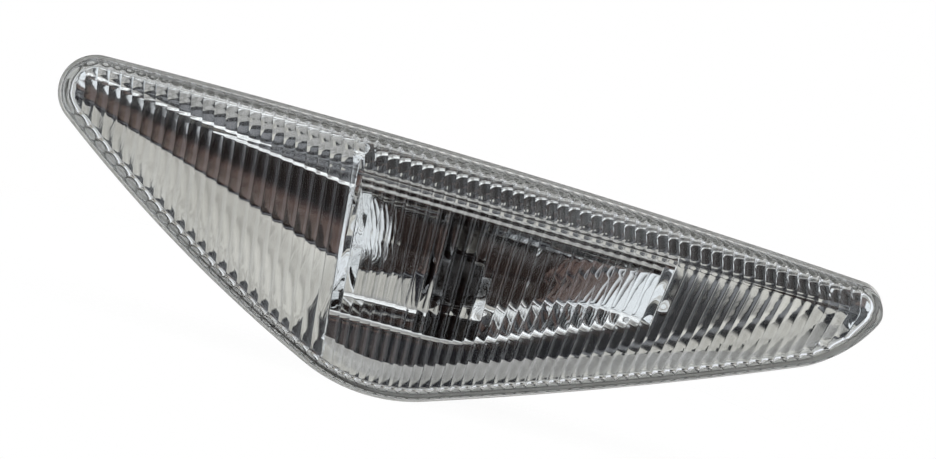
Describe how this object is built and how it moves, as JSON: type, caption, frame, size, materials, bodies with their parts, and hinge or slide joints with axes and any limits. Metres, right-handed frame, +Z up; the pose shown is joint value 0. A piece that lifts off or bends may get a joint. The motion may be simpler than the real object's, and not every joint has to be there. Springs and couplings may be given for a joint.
{
  "type": "side repeater lamp",
  "caption": "Clear wing-shaped side repeater lamp: fluted lens over a metallised reflector, with a quarter-turn bulb holder behind, a panel gasket, a hook and a spring clip.",
  "frame": {"origin": "on the plane where the gasket meets the car's panel, level with the lens crease, halfway along the lamp", "axes": "+X along the lens crease towards the narrow right tip, +Y back into the car, +Z up; the lens faces -Y"},
  "size_m": [0.1544, 0.0469, 0.0463],
  "materials": {
    "lens_clear": "clear moulded acrylic",
    "housing_grey": "fine moulded grain",
    "mirror_coat": "vacuum metallised and lacquered plastic",
    "gasket_foam": "closed-cell foam",
    "holder_black": "glass-filled moulding",
    "seal_rubber": "smooth silicone",
    "bulb_silver": "dark silvered glass",
    "lead_wire": "drawn wire",
    "contact_brass": "stamped, tinned edges",
    "spring_steel": "rolled strip"
  },
  "bodies": {
    "lamp": {"outer_lens": "lens_clear", "rear_housing": "housing_grey", "reflector": "mirror_coat", "panel_gasket": "gasket_foam", "retaining_spring": "spring_steel"},
    "holder": {"bulb_holder": "holder_black", "holder_seal": "seal_rubber", "wedge_bulb": "bulb_silver", "bulb_lead_wires": "lead_wire", "contact_blades": "contact_brass"}
  },
  "joints": [
    {"name": "holder_quarter_turn", "type": "hinge", "parent": "lamp", "child": "holder", "pos_m": [0.001, 0.0165, -0.01425], "axis": [0, 1, 0], "range_deg": [0, 45]}
  ]
}
